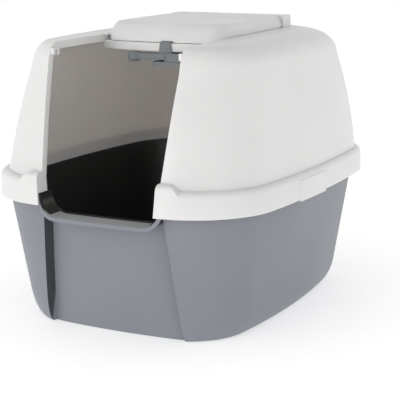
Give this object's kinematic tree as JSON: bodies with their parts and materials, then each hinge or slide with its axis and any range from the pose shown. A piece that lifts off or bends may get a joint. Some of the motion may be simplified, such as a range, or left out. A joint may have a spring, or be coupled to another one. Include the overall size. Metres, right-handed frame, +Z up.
{
  "type": "cat litter box with hood",
  "caption": "Hooded litter box for a cat: grey tray with a drop-in pan, white open-front hood, side clips, hinged filter lid and a hanging scoop.",
  "frame": {"origin": "under the middle of the box, on the floor", "axes": "+Y to the rear, the entrance looks along -Y, +Z up, +X is the box's right as seen from the front"},
  "size_m": [0.4002, 0.5171, 0.3902],
  "materials": {
    "grey_plastic": "fine moulded texture",
    "black_plastic": "smooth satin",
    "white_plastic": "satin gloss",
    "white_clip": "satin gloss",
    "pin_steel": "drawn",
    "grille_plastic": "satin",
    "carbon_felt": "needled felt",
    "scoop_plastic": "satin"
  },
  "bodies": {
    "base": {"tray": "grey_plastic", "inner_pan": "black_plastic"},
    "hood": {"hood": "white_plastic", "door_clip_left": "white_clip", "door_clip_right": "white_clip", "filter_grille": "grille_plastic", "carbon_filter": "carbon_felt"},
    "lid": {"filter_lid": "white_plastic", "lid_hinge_pins": "pin_steel"},
    "clip_left": {"side_clip_left": "white_clip"},
    "clip_right": {"side_clip_right": "white_clip"},
    "scoop": {"scoop": "scoop_plastic"}
  },
  "joints": [
    {"name": "hood_lift", "type": "slide", "parent": "base", "child": "hood", "axis": [0, 0, 1], "range_m": [0, 0.25]},
    {"name": "lid_hinge", "type": "hinge", "parent": "hood", "child": "lid", "pos_m": [0, 0.1056, 0.38521], "axis": [-1, 0, 0], "range_deg": [0, 100]},
    {"name": "clip_right_hinge", "type": "hinge", "parent": "hood", "child": "clip_right", "pos_m": [0.1985, -0.034, 0.1922], "axis": [0, -1, 0], "range_deg": [0, 12], "stiffness_Nm_per_rad": 0.3},
    {"name": "clip_left_hinge", "type": "hinge", "parent": "hood", "child": "clip_left", "pos_m": [-0.1985, -0.034, 0.1922], "axis": [0, 1, 0], "range_deg": [0, 12], "stiffness_Nm_per_rad": 0.3},
    {"name": "scoop_slide", "type": "slide", "parent": "hood", "child": "scoop", "axis": [0, -1, 0], "range_m": [0, 0.06]}
  ]
}
